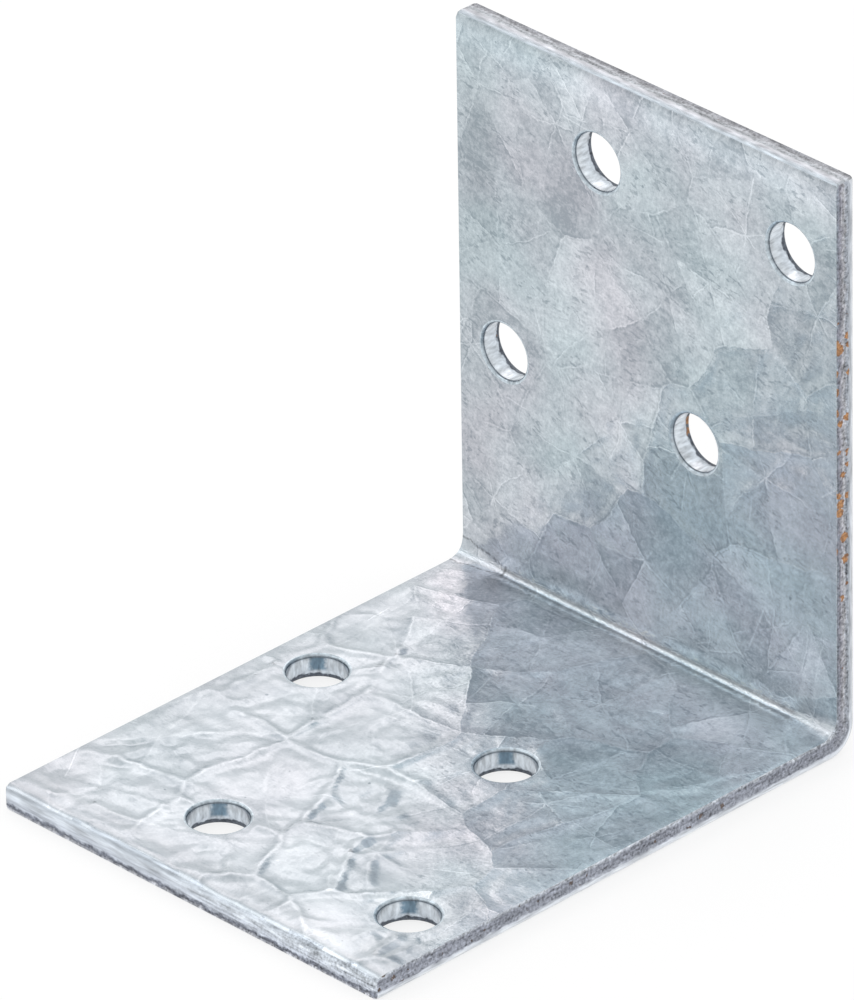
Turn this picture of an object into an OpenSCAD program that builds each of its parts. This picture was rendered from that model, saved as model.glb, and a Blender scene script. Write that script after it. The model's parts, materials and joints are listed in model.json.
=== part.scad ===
// Angle bracket: one strip of galvanised steel sheet, punched, cropped and folded square.
// The fold runs along X, one leg lies flat towards -Y and the other stands up at +Y.
// The origin is under the middle of the whole bracket, on the face that it rests on.

/* [Sheet] */
// Width of the strip, along the fold
strip_w = 39.4; // [37:0.2:60]
// Thickness of the sheet
sheet_t = 2; // [1.6:0.1:3]

/* [Legs] */
// Depth of the flat leg, from the heel to its tip
base_leg = 50; // [47:0.5:90]
// Height of the upright leg, from the heel to its tip
upright_leg = 48.6; // [46:0.2:90]
// Radius of the tips' corners, seen square onto the leg
corner_r = 0.5; // [0.2:0.1:3]

/* [Fold] */
// Inner radius of the fold, pressed in by the edge of the bending punch
fold_r = 0.5; // [0.3:0.1:1.2]
// Inner radius that the fold opens out to at both sides of the strip, beyond the punch
flare_r = 1.5; // [1.3:0.1:3]
// Distance from the side at which the fold begins to open out
flare_len = 4.6; // [3:0.2:8]

/* [Sheared edges] */
// Radius that slitting rolls over the outer face along both sides of the strip
side_roll = 0.5; // [0.2:0.1:1]
// Radius that cropping rolls over the inner face at both tips
tip_roll = 0.8; // [0.3:0.1:1.2]
// Depth of the torn chamfer that cropping leaves on the outer face at both tips
tip_break = 0.2; // [0.1:0.05:0.4]

/* [Screw holes] */
// Diameter of each hole where the punch sheared it clean
hole_d = 4.7; // [3:0.1:5.4]
// Distance between the two holes of a row
hole_pitch = 20; // [12:0.5:21]
// Distance between the two rows of a leg
row_pitch = 20; // [12:0.5:21]
// Sideways shift of the row near a tip against the row near the fold
row_shift = 10; // [4:0.5:10.5]
// Distance from the heel to the first row of the flat leg
base_row = 22.1; // [16:0.1:24]
// Distance from the heel to the first row of the upright leg
upright_row = 21.2; // [16:0.1:24]
// Radius that the punch rolls over the inner face round each hole
hole_roll = 0.25; // [0.1:0.05:0.4]
// Height of the torn cone where the slug broke away, at the outer face
break_h = 0.7; // [0.3:0.1:1]
// How much wider in radius that cone is at the outer face
break_w = 0.2; // [0.1:0.05:0.4]

/* [Hidden] */
$fn = 96;

// How far a cutter runs clear of the face that it cuts
over = 1;
// How far a piece of the flare is sunk into the legs that it joins
lap = 0.2;
// Depth that the flare's cone bites into the legs, so that it meets them at a clean edge
bite = 0.02;

half_w = strip_w / 2;
hole_r = hole_d / 2;
// Outer radius of the fold, round the same axis as its inner radius
heel_r = fold_r + sheet_t;
// How much wider in radius the torn cone of a hole gets for each millimetre of depth
break_slope = break_w / break_h;

// How much the flare's radius grows for each millimetre towards the side
flare_slope = (flare_r - fold_r) / flare_len;
// Radius at which the flare's metal starts, inside the fold's own radius, and its place
flare_start_r = fold_r / 2;
flare_start = half_w - (flare_r - flare_start_r) / flare_slope;
// Length of the flare's axis for each millimetre along X, as it climbs away from both legs
axis_stretch = sqrt(1 + 2 * pow(flare_slope, 2));
// Length of the flare's line of contact with a leg for each millimetre along X
touch_stretch = sqrt(1 + pow(flare_slope, 2));
zinc_grey = [0.69, 0.73, 0.76];

// What rounding takes off a corner at the origin whose edges run along +X and +Y
module corner_waste(r) {
  difference() {
    translate([-over, -over]) square(r + over);
    translate([r, r]) circle(r);
  }
}

// Section across the strip: the outer face at y = 0, rolled over along both slit sides.
// It reaches past the inner face, as far as the axis of the fold.
module strip_section() {
  difference() {
    translate([-half_w, 0]) square([strip_w, heel_r]);
    for (side = [0, 1])
      mirror([side, 0]) translate([-half_w, 0]) corner_waste(side_roll);
  }
}

// The section swept down the upright leg, round the fold and along the flat leg.
// It gives the outer faces and the sides, and runs past both tips. The heel is at y = 0.
module swept_strip() {
  translate([0, 0, heel_r]) rotate(180)
    linear_extrude(upright_leg + over - heel_r) strip_section();
  translate([0, -heel_r, heel_r]) rotate([-90, 0, 90])
    rotate_extrude(angle = 90) translate([heel_r, 0]) rotate(90) strip_section();
  translate([0, -heel_r, 0]) rotate([90, 0, 0])
    linear_extrude(base_leg + over - heel_r) strip_section();
}

// The bracket seen along X, heel at the origin, with waste left outside the outer faces:
// it gives the inner faces, the inside of the fold and both cropped tips
module side_view() {
  difference() {
    translate([-base_leg, -over]) square([base_leg + over, upright_leg + over]);
    difference() {
      translate([-base_leg - over, sheet_t])
        square([base_leg + over - sheet_t, upright_leg + over - sheet_t]);
      translate([-sheet_t, sheet_t]) mirror([1, 0]) corner_waste(fold_r);
    }
    for (tip = [[-base_leg, sheet_t], [-sheet_t, upright_leg]])
      translate(tip) mirror([0, 1]) corner_waste(tip_roll);
    for (tip = [[-base_leg, 0], [0, upright_leg]])
      translate(tip) rotate(45) square(tip_break * sqrt(2), center = true);
  }
}

// Both legs and the fold, with square corners and no holes
module folded_strip() {
  intersection() {
    swept_strip();
    translate([-half_w - over, 0, 0]) rotate([90, 0, 90])
      linear_extrude(strip_w + 2 * over) side_view();
  }
}

// Metal that fills the inside of the fold towards the +X side, where the punch did not reach
module side_flare() {
  taper = [[flare_start, -lap], [flare_start, flare_start_r], [half_w, flare_r], [half_w, -lap]];
  difference() {
    intersection() {
      translate([0, -sheet_t, sheet_t - lap]) mirror([0, 1, 0])
        linear_extrude(flare_r + lap) polygon(taper);
      translate([0, lap - sheet_t, sheet_t]) rotate([90, 0, 0])
        linear_extrude(flare_r + lap) polygon(taper);
    }
    translate([half_w, -sheet_t - flare_r, sheet_t + flare_r])
      rotate([0, acos(flare_slope / axis_stretch), -atan(flare_slope)])
        flare_cone();
  }
}

// The open space inside the flare: a cone along Z that touches both legs, with the side at z = 0
module flare_cone() {
  side_r = flare_r * axis_stretch / touch_stretch + bite;
  slope = flare_slope / touch_stretch;
  inward = (flare_r - flare_start_r / 2) / flare_slope * axis_stretch;
  translate([0, 0, -inward])
    cylinder(h = inward + over, r1 = side_r - slope * inward, r2 = side_r + slope * over);
}

// One hole, punched down from the inner face at z = 0: rolled edge, sheared wall, torn cone
module punched_hole() {
  translate([0, 0, -sheet_t - over]) cylinder(h = sheet_t + 2 * over, r = hole_r);
  rotate_extrude() translate([hole_r, 0]) mirror([0, 1]) corner_waste(hole_roll);
  translate([0, 0, -sheet_t - over])
    cylinder(h = over + break_h, r1 = hole_r + break_slope * (over + break_h), r2 = hole_r);
}

// The holes of a leg that runs along +Y from the heel, with its inner face at z = 0
module hole_pattern(first_row) {
  for (row = [0, 1], side = [-1, 1])
    translate([(row - 0.5) * row_shift + side * hole_pitch / 2, first_row + row * row_pitch, 0])
      punched_hole();
}

// What rounding takes off both corners of a tip at y = 0, on a leg that runs along +Y from it
module tip_corners() {
  for (side = [0, 1])
    mirror([side, 0, 0]) translate([-half_w, 0, -sheet_t - over])
      linear_extrude(sheet_t + 2 * over) corner_waste(corner_r);
}

module bracket() {
  color(zinc_grey) translate([0, base_leg / 2, 0]) difference() {
    union() {
      folded_strip();
      for (side = [0, 1]) mirror([side, 0, 0]) side_flare();
    }
    translate([0, 0, sheet_t]) {
      mirror([0, 1, 0]) hole_pattern(base_row);
      translate([0, -base_leg, 0]) tip_corners();
    }
    translate([0, -sheet_t, 0]) rotate([90, 0, 0]) {
      hole_pattern(upright_row);
      translate([0, upright_leg, 0]) mirror([0, 1, 0]) tip_corners();
    }
  }
}

bracket();
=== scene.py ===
# %% [markdown]
# # A galvanised angle bracket
# The bracket is one strip of zinc-coated steel sheet. A machine slits the strip to width,
# punches it, crops it to length and folds it square, and each of those steps leaves its own
# mark on the metal. This lesson makes the bracket in the same order, so that every mark is
# modelled where the tool really left it.
#
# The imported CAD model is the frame. It gives the size and the holes, and what is made here
# stands exactly where the CAD part stands.

# %% Load the frame
import json
import math

import bpy
import numpy as np
from mathutils import Matrix, Vector


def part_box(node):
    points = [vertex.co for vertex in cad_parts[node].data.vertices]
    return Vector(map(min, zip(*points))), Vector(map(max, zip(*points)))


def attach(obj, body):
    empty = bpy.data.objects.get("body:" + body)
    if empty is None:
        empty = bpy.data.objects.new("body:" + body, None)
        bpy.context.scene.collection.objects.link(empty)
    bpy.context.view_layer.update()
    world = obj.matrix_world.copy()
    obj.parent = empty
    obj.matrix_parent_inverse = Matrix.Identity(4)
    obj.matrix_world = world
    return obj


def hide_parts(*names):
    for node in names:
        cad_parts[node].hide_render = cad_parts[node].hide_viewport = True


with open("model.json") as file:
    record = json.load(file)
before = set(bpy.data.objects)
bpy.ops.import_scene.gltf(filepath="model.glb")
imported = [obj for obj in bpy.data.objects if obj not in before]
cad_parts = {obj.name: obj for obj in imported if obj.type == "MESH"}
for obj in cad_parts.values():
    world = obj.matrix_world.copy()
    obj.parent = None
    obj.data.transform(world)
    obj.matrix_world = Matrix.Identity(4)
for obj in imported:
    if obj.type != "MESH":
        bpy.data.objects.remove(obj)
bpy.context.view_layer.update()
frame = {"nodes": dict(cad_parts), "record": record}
print("the frame has the nodes", sorted(frame["nodes"]))

# %% [markdown]
# ## Sizes
# Lengths are in millimetres, as on a maker's drawing, and are turned to Blender's metres when
# a mesh is made. The outline comes from the CAD node's box and the holes from the record's
# mounts. What neither of them says is repeated from the CAD model.

# %% Sizes
MM = 0.001
low, high = (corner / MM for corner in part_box("bracket"))
half_w = high.x
heel_y = high.y
sheet_t = 2.0
fold_r = 0.5
flare_r = 1.5
flare_len = 4.6

# The fold's axis runs along X, and both legs end where they touch the fold.
fold_y = heel_y - sheet_t - fold_r
fold_z = sheet_t + fold_r

mounts = {mount["name"]: mount for mount in frame["record"]["mounts"]}
hole_r = mounts["base_row_near_fold"]["dims"]["hole_r_mm"]


def holes_of(leg, axis, fold_line):
    """The holes of a leg as pairs: the place along X and the distance from the fold."""
    holes = []
    for row in (leg + "_row_near_fold", leg + "_row_near_tip"):
        place = mounts[row]["pos_m"]
        distance = abs(place[axis] / MM - fold_line)
        reach = mounts[row]["dims"]["spacing_x_mm"] / 2
        holes += [(place[0] / MM + side * reach, distance) for side in (-1, 1)]
    return holes


base_holes = holes_of("base", 1, fold_y)
upright_holes = holes_of("upright", 2, fold_z)
base_flat = fold_y - low.y
upright_flat = high.z - fold_z
print(f"strip {2 * half_w:.1f} wide, flats {base_flat:.1f} and {upright_flat:.1f}, holes {2 * hole_r:.1f}")

# %% [markdown]
# ## Working like a modeller
# Blender's edit-mode tools act on all that is selected. By hand one clicks on what one wants.
# A script picks it by its place instead: it reads where the vertices are, makes a list of yes
# and no, and hands that list to Blender as the selection.

# %% Helpers for picking parts of a mesh
MODES = {"VERT": "vertices", "EDGE": "edges", "FACE": "polygons"}


def places_of(piece):
    """The place of every vertex in millimetres, one row of x, y and z for each."""
    places = np.empty(3 * len(piece.data.vertices))
    piece.data.vertices.foreach_get("co", places)
    return places.reshape(-1, 3) / MM


def put_places(piece, places):
    """Moves every vertex to its row of places."""
    piece.data.vertices.foreach_set("co", (places * MM).ravel())
    piece.data.update()


def ends_of(piece):
    """The two vertices of every edge."""
    ends = np.empty(2 * len(piece.data.edges), int)
    piece.data.edges.foreach_get("vertices", ends)
    return ends.reshape(-1, 2)


def faces_of(piece, what):
    """Every face's center or normal, one row each, with centres in millimetres."""
    rows = np.empty(3 * len(piece.data.polygons))
    piece.data.polygons.foreach_get(what, rows)
    return rows.reshape(-1, 3) / (MM if what == "center" else 1)


def only(piece):
    """Makes the piece the only selected object, in object mode."""
    if bpy.context.mode != "OBJECT":
        bpy.ops.object.mode_set(mode="OBJECT")
    bpy.ops.object.select_all(action="DESELECT")
    piece.select_set(True)
    bpy.context.view_layer.objects.active = piece


def pick(piece, kind, chosen):
    """Selects the chosen vertices, edges or faces and nothing else, and stays in edit mode."""
    only(piece)
    for mode, elements in MODES.items():
        part = getattr(piece.data, elements)
        part.foreach_set("select", chosen if mode == kind else np.zeros(len(part), bool))
    bpy.context.tool_settings.mesh_select_mode = [mode == kind for mode in MODES]
    bpy.ops.object.mode_set(mode="EDIT")


def done():
    """Back to object mode."""
    bpy.ops.object.mode_set(mode="OBJECT")


def edges_where(piece, test):
    """The edges that have both of their ends where the test says."""
    return test(places_of(piece))[ends_of(piece)].all(axis=1)


def applied(piece, modifier):
    """Applies a modifier, so that its result is the piece's own mesh."""
    only(piece)
    bpy.ops.object.modifier_apply(modifier=modifier.name)


# %% [markdown]
# ## A punched hole
# A punch comes down on the inner face. It first drags the face over into a small round edge,
# then shears a smooth wall, and at last the slug breaks away and leaves a rough cone that
# opens downwards. One circle is extruded down through these rings to make the wall of a hole.
# All eight holes are copies of it.

# %% Wall of one punched hole
HOLE_SIDES = 96
HOLE_WINDOW = 3.9
hole_roll = 0.25
break_h = 0.7
break_w = 0.2
ROLL_STEPS = 4

hole_rings = [
    (hole_r + hole_roll * (1 - math.sin(turn)), -hole_roll * (1 - math.cos(turn)))
    for turn in np.linspace(0, math.pi / 2, ROLL_STEPS + 1)
]
hole_rings += [(hole_r, z) for z in np.linspace(-hole_roll, break_h - sheet_t, 5)[1:]]
hole_rings += [(hole_r + break_w * share, break_h - sheet_t - break_h * share) for share in (1 / 3, 2 / 3, 1)]


def punched_wall():
    """The wall of a hole, round the Z axis, from the inner face at z = 0 down to the outer face."""
    radius, z = hole_rings[0]
    bpy.ops.object.select_all(action="DESELECT")
    bpy.ops.mesh.primitive_circle_add(vertices=HOLE_SIDES, radius=radius * MM, location=(0, 0, z * MM))
    bpy.ops.object.mode_set(mode="EDIT")
    for next_radius, next_z in hole_rings[1:]:
        bpy.ops.mesh.extrude_region_move(TRANSFORM_OT_translate={"value": (0, 0, (next_z - z) * MM)})
        bpy.ops.transform.resize(value=(next_radius / radius, next_radius / radius, 1))
        radius, z = next_radius, next_z
    done()
    return bpy.context.object


hole_wall = punched_wall()
print("a hole's wall has", len(hole_wall.data.polygons), "faces")

# %% [markdown]
# ## A flat leg
# Each leg is made lying flat: a grid with a square window for every hole, extruded to the
# thickness of the sheet. The walls of the holes are joined in, and each ring is bridged to
# its window, so that the grid flows round the hole. The grid is fine, because the zinc's
# relief is raised from it later, but its outermost cells stay wide. They leave room for the
# edges that the shears roll over.

# %% Grid of a leg
CELL = 0.33
TIP_CELL = 1.2
WINDOW_CELLS = HOLE_SIDES // 4
CLOSE = 0.01
LIFT = 1.0


def grid_lines(stops, counts):
    """Lines that run from stop to stop, with so many equal cells between each two."""
    lines = [stops[0]]
    for start, end, count in zip(stops, stops[1:], counts):
        lines += list(np.linspace(start, end, count + 1)[1:])
    return lines


def across_lines(middles, first, last, last_cell):
    """Lines across one direction of a leg, with the windows round the holes' middles."""
    stops = [first] + [m + side * HOLE_WINDOW for m in middles for side in (-1, 1)] + [last]
    if last_cell:
        stops.insert(-1, last - last_cell)
    counts = [max(1, round((end - start) / CELL)) for start, end in zip(stops, stops[1:])]
    for window in range(len(middles)):
        counts[2 * window + 1] = WINDOW_CELLS
    counts[-1] = 1
    if not last_cell:
        counts[0] = 1
    return grid_lines(stops, counts)


def leg_grid(length, holes):
    """A leg's face as a grid, with the fold at y = 0, its tip at y = length and z = -sheet_t."""
    columns = across_lines(sorted({x for x, y in holes}), -half_w, half_w, 0)
    rows = across_lines(sorted({y for x, y in holes}), 0, length, TIP_CELL)
    cells_x, cells_y = len(columns) - 1, len(rows) - 1
    bpy.ops.object.select_all(action="DESELECT")
    bpy.ops.mesh.primitive_grid_add(x_subdivisions=cells_x, y_subdivisions=cells_y, size=2 * MM)
    leg = bpy.context.object
    places = places_of(leg)
    places[:, 0] = np.interp(places[:, 0], np.linspace(-1, 1, cells_x + 1), columns)
    places[:, 1] = np.interp(places[:, 1], np.linspace(-1, 1, cells_y + 1), rows)
    places[:, 2] = -sheet_t
    put_places(leg, places)
    return leg


def in_window(places, hole):
    """Which places are inside the window of a hole, its border included."""
    return (np.abs(places[:, :2] - hole) < HOLE_WINDOW + CLOSE).all(axis=1)


def bridge_hole(leg, hole, ring_r, face_z):
    """Bridges the ring at one end of a hole's wall to the border of its window in that face."""
    places, ends = places_of(leg), ends_of(leg)
    radius = np.hypot(*(places[:, :2] - hole).T)
    ring = (np.abs(radius - ring_r) < CLOSE) & (np.abs(places[:, 2] - face_z - LIFT) < CLOSE)
    border = in_window(places, hole) & (radius > ring_r + CLOSE) & (np.abs(places[:, 2] - face_z) < CLOSE)
    pick(leg, "EDGE", (ring | border)[ends].all(axis=1))
    bpy.ops.mesh.bridge_edge_loops(number_cuts=4, interpolation="LINEAR")
    done()
    places = places_of(leg)
    radius = np.hypot(*(places[:, :2] - hole).T)
    between = in_window(places, hole) & (radius > ring_r + CLOSE) & (places[:, 2] > face_z)
    places[between & (places[:, 2] < face_z + LIFT), 2] = face_z
    put_places(leg, places)


def flat_leg(name, length, holes):
    """A leg lying flat and open towards the fold, with its holes bridged in."""
    leg = leg_grid(length, holes)
    leg.name = name
    inside = sum(in_window(faces_of(leg, "center"), hole) for hole in holes) > 0
    pick(leg, "FACE", inside)
    bpy.ops.mesh.delete(type="FACE")
    bpy.ops.mesh.select_all(action="SELECT")
    bpy.ops.mesh.extrude_region_move(TRANSFORM_OT_translate={"value": (0, 0, sheet_t * MM)})
    done()
    centres = faces_of(leg, "center")
    steep = np.abs(faces_of(leg, "normal")[:, 2]) < 0.5
    inner = sum(in_window(centres, hole) for hole in holes) > 0
    pick(leg, "FACE", steep & (inner | (centres[:, 1] < CLOSE)))
    bpy.ops.mesh.delete(type="FACE")
    done()
    walls = []
    for x, y in holes:
        wall = hole_wall.copy()
        wall.data = hole_wall.data.copy()
        bpy.context.collection.objects.link(wall)
        wall.location = (x * MM, y * MM, LIFT * MM)
        walls.append(wall)
    only(leg)
    for wall in walls:
        wall.select_set(True)
    bpy.ops.object.transform_apply(location=True, rotation=False, scale=False)
    bpy.ops.object.join()
    for hole in holes:
        bridge_hole(leg, hole, hole_rings[0][0], 0)
        bridge_hole(leg, hole, hole_rings[-1][0], -sheet_t)
    places = places_of(leg)
    for hole in holes:
        in_wall = np.hypot(*(places[:, :2] - hole).T) < hole_rings[0][0] + CLOSE
        places[in_wall, 2] -= LIFT
    put_places(leg, places)
    return leg


base = flat_leg("base_leg", base_flat, [(-x, y) for x, y in base_holes])
upright = flat_leg("upright_leg", upright_flat, upright_holes)
print("flat legs of", len(base.data.polygons), "and", len(upright.data.polygons), "faces")

# %% [markdown]
# ## Sheared edges
# Shears roll one side of a sheet over and break through the other. Slitting rolled over the
# outer face along both sides, and cropping rolled over the inner face at both tips and left
# a small torn chamfer behind it. A Bevel modifier with a weight for each edge makes all these
# different radii at once, with clean corners where they meet. The corners at the left are a
# little sharper than those at the right.

# %% Roll the edges over
side_roll = 0.5
tip_roll = 0.8
tip_break = 0.2
corner_r = 0.5
sharp_r = 0.35
burr = 0.05
WALL_CUTS = 4


def roll_edges(leg, length, left):
    """Rounds the sheared edges of a flat leg, each by its own radius, and cuts up its walls."""
    places, ends = places_of(leg), ends_of(leg)
    at_side = np.abs(np.abs(places[:, 0]) - half_w) < CLOSE
    at_left = places[:, 0] * left < 0
    at_tip = np.abs(places[:, 1] - length) < CLOSE
    at_inner = np.abs(places[:, 2]) < CLOSE
    at_outer = np.abs(places[:, 2] + sheet_t) < CLOSE
    radii = np.zeros(len(ends))
    for where, radius in (
        (at_side & at_inner, burr),
        (at_side & at_outer, side_roll),
        (at_tip & at_inner, tip_roll),
        (at_tip & at_outer, tip_break),
        (at_side & at_tip, corner_r),
        (at_side & at_tip & at_left, sharp_r),
    ):
        radii[where[ends].all(axis=1)] = radius
    weights = leg.data.attributes.new("bevel_weight_edge", "FLOAT", "EDGE")
    weights.data.foreach_set("value", radii / radii.max())
    rolled = leg.modifiers.new("sheared edges", "BEVEL")
    rolled.limit_method = "WEIGHT"
    rolled.width = radii.max() * MM
    rolled.segments = ROLL_STEPS
    rolled.use_clamp_overlap = False
    applied(leg, rolled)

    places, ends = places_of(leg), ends_of(leg)
    span = np.abs(places[ends[:, 0]] - places[ends[:, 1]])
    pick(leg, "EDGE", (span[:, 2] > 0.5) & (span[:, 0] < CLOSE) & (span[:, 1] < CLOSE))
    bpy.ops.mesh.subdivide(number_cuts=WALL_CUTS)
    done()


roll_edges(base, base_flat, -1)
roll_edges(upright, upright_flat, 1)
print("rolled edges give", len(base.data.polygons), "and", len(upright.data.polygons), "faces")

# %% [markdown]
# ## The fold
# The two legs are turned to their places. The open end of the flat leg is then spun a quarter
# turn round the fold's axis, until it meets the open end of the upright leg, and the vertices
# that fall together are merged.

# %% Fold the strip
FOLD_STEPS = 12
MERGE = 0.003
inner_y = heel_y - sheet_t
turn_base = Matrix.Translation((0, fold_y * MM, sheet_t * MM)) @ Matrix.Rotation(math.pi, 4, "Z")
turn_upright = Matrix.Translation((0, inner_y * MM, fold_z * MM)) @ Matrix.Rotation(math.pi / 2, 4, "X")
base.data.transform(turn_base)
upright.data.transform(turn_upright)

pick(base, "EDGE", edges_where(base, lambda p: np.abs(p[:, 1] - fold_y) < CLOSE))
bpy.ops.mesh.spin(
    steps=FOLD_STEPS, angle=-math.pi / 2, center=(0, fold_y * MM, fold_z * MM), axis=(1, 0, 0)
)
done()
only(base)
upright.select_set(True)
bpy.ops.object.join()
bracket = base
bracket.name = "bracket_sheet"
bracket.data.name = "bracket_sheet"
pick(bracket, "VERT", np.ones(len(bracket.data.vertices), bool))
bpy.ops.mesh.remove_doubles(threshold=MERGE * MM)
bpy.ops.mesh.normals_make_consistent(inside=False)
done()
bpy.data.objects.remove(hole_wall)
print("folded strip of", len(bracket.data.polygons), "faces, box",
      places_of(bracket).min(axis=0).round(3), places_of(bracket).max(axis=0).round(3))

# %% [markdown]
# ## Where the punch ended
# The edge that pressed the fold in was shorter than the strip is wide. Beyond it the metal
# wasn't pressed home, so the inside of the fold opens out in a cone towards each side. A cone
# is placed so that it touches both legs, and a Shrinkwrap modifier lays the fold on it.

# %% Flare the ends of the fold
CONE_SIDES = 256
flare_start = half_w - flare_len


def flared_end(side):
    """Lays the end of the fold at one side, -1 or 1, on a cone that touches both legs."""
    reach = flare_r * flare_len / (flare_r - fold_r)
    apex = Vector((side * (half_w - reach), heel_y - sheet_t, sheet_t)) * MM
    centre = Vector((side * half_w, heel_y - sheet_t - flare_r, sheet_t + flare_r)) * MM
    axis = centre - apex
    length = axis.length + MM
    spread = flare_r * MM / math.sqrt(axis.length**2 - (flare_r * MM) ** 2)
    bpy.ops.object.select_all(action="DESELECT")
    bpy.ops.mesh.primitive_cone_add(
        vertices=CONE_SIDES, radius1=0, radius2=length * spread, depth=length, end_fill_type="NOTHING",
        location=apex + axis.normalized() * length / 2, rotation=axis.to_track_quat("Z", "Y").to_euler(),
    )
    cone = bpy.context.object
    places = places_of(bracket)
    from_upright = heel_y - sheet_t - places[:, 1]
    from_base = places[:, 2] - sheet_t
    radius = fold_r + (side * places[:, 0] - flare_start) * (flare_r - fold_r) / flare_len
    loose = (radius > fold_r) & (from_upright < radius) & (from_base < radius)
    loose &= (from_upright > -burr - CLOSE) & (from_base > -burr - CLOSE)
    group = bracket.vertex_groups.new(name="flare")
    group.add(np.flatnonzero(loose).tolist(), 1.0, "REPLACE")
    lay = bracket.modifiers.new("flare", "SHRINKWRAP")
    lay.target = cone
    lay.vertex_group = group.name
    lay.wrap_method = "NEAREST_SURFACEPOINT"
    applied(bracket, lay)
    bracket.vertex_groups.clear()
    places = places_of(bracket)
    places[:, 0] = np.clip(places[:, 0], -half_w, half_w)
    put_places(bracket, places)
    bpy.data.objects.remove(cone)
    return int(loose.sum())


print("vertices laid on the cones:", flared_end(-1), flared_end(1))

# %% [markdown]
# ## The sheet's own coordinates
# Zinc patterns and shear marks belong to the flat strip and go round the fold with it. Each
# vertex therefore keeps its place on the flat strip: x across, y along it and z as the depth
# below the inner face. Materials read this attribute, so nothing stretches or jumps.

# %% Places on the flat strip
def strip_places(places):
    """The places on the unfolded strip, in millimetres, with the fold's middle line kept in length."""
    y, z = places[:, 1] - fold_y, places[:, 2] - fold_z
    arc = math.pi / 2 * (fold_r + sheet_t / 2)
    turn = np.arctan2(np.clip(y, 0, None), np.clip(-z, 0, None))
    in_fold = (y > 0) & (z < 0)
    on_upright = (y > 0) & (z >= 0)
    along = np.where(in_fold, turn / (math.pi / 2) * arc, np.where(on_upright, arc + z, y))
    depth = np.where(in_fold, np.hypot(y, z) - fold_r, np.where(on_upright, y - fold_r, -z - fold_r))
    return np.stack([places[:, 0], along, depth], axis=1)


strip = bracket.data.attributes.new("strip", "FLOAT_VECTOR", "POINT")
strip.data.foreach_set("vector", (strip_places(places_of(bracket)) * MM).ravel())
print("the strip is", np.ptp(strip_places(places_of(bracket))[:, 1]).round(1), "mm long when flat")

# %% [markdown]
# ## Colours and nodes
# A colour is written as the sRGB hex value that a paint program shows, and one function turns
# it to the linear light that Blender reckons with. One more small function adds a node with
# its settings and links. Every pattern below is built with it, so that a material reads from
# top to bottom like a recipe.

# %% Helpers for colours and nodes
# Settings that many nodes share: a change with soft ends, and a noise in a plane
SOFT_ENDS = {"interpolation_type": "SMOOTHSTEP"}
IN_PLANE = {"noise_dimensions": "2D"}


def linear(hex_code):
    """An sRGB hex colour as linear red, green and blue, with alpha."""
    values = [int(hex_code[k:k + 2], 16) / 255 for k in (1, 3, 5)]
    return [v / 12.92 if v <= 0.04045 else ((v + 0.055) / 1.055) ** 2.4 for v in values] + [1.0]


def add(tree, kind, *inputs, named=(), stops=(), **settings):
    """Adds a node with its settings. A shader node's kind is written without its first words,
    ShaderNode. Its inputs, in order or by name, get numbers or links from other nodes, and a
    colour ramp gets its stops."""
    node = tree.nodes.new(kind if "Node" in kind else "ShaderNode" + kind)
    for name, value in settings.items():
        setattr(node, name, value)
    sockets = [socket for socket in node.inputs if socket.enabled]
    pairs = list(zip(sockets, inputs)) + [(node.inputs[name], value) for name, value in dict(named).items()]
    for socket, value in pairs:
        if isinstance(value, bpy.types.Node):
            value = next(output for output in value.outputs if output.enabled)
        if isinstance(value, bpy.types.NodeSocket):
            tree.links.new(value, socket)
        else:
            socket.default_value = value
    for count, (position, colour) in enumerate(stops):
        elements = node.color_ramp.elements
        stop = elements[count] if count < 2 else elements.new(position)
        stop.position = position
        stop.color = linear(colour)
    return node


def weighted(tree, start, parts):
    """The start value plus each pattern times its weight."""
    value = start
    for pattern, weight in parts:
        value = add(tree, "Math", pattern, weight, value, operation="MULTIPLY_ADD")
    return value


# How far the outer face's pattern is moved aside, and where the crumpled corner of the flat leg
# fades out, as x + y on the strip
OUTER_ASIDE = 100.0
CORNER_EDGE = (-27.0, -21.0)


def place_on_strip(tree):
    """Where a point is on the flat strip, in millimetres: on its surface, in its solid, and as three
    numbers. The outer face is moved far aside, because its zinc froze by itself."""
    if tree.type == "GEOMETRY":
        here = add(tree, "GeometryNodeInputNamedAttribute", "strip", data_type="FLOAT_VECTOR")
    else:
        here = add(tree, "Attribute", attribute_name="strip").outputs["Vector"]
    solid = add(tree, "VectorMath", here, 1 / MM, operation="SCALE")
    x, y, z = add(tree, "SeparateXYZ", solid).outputs
    outer = add(tree, "Math", z, sheet_t / 2, operation="GREATER_THAN")
    aside = add(tree, "Math", outer, OUTER_ASIDE, x, operation="MULTIPLY_ADD")
    return add(tree, "CombineXYZ", aside, y), solid, (x, y, z)


def calm_share(tree, x, y, in_corner, elsewhere):
    """One number in the crumpled corner of the flat leg and another where the zinc lies calm."""
    from_corner = add(tree, "Math", x, y, operation="ADD")
    return add(tree, "MapRange", from_corner, *CORNER_EDGE, in_corner, elsewhere)


# %% [markdown]
# ## Crystals of zinc
# The sheet was dipped in molten zinc, which froze into large flat crystals, the spangle. Each
# one grew from a nucleus in six arms, like a snowflake, and each sector between two arms
# mirrors the room in its own way. So the sheet shows pointed patches of slightly different
# grey that meet in stars. Inside a sector the zinc is feathered along its arm, and it swelled
# where two crystals met. This pattern is built once and used twice: its wide relief is raised
# in the mesh by Geometry Nodes, and its tones and fine relief are drawn by the material.

# %% Nuclei, arms and sectors
SPANGLE = 8.8
ARMS = 6


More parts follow.
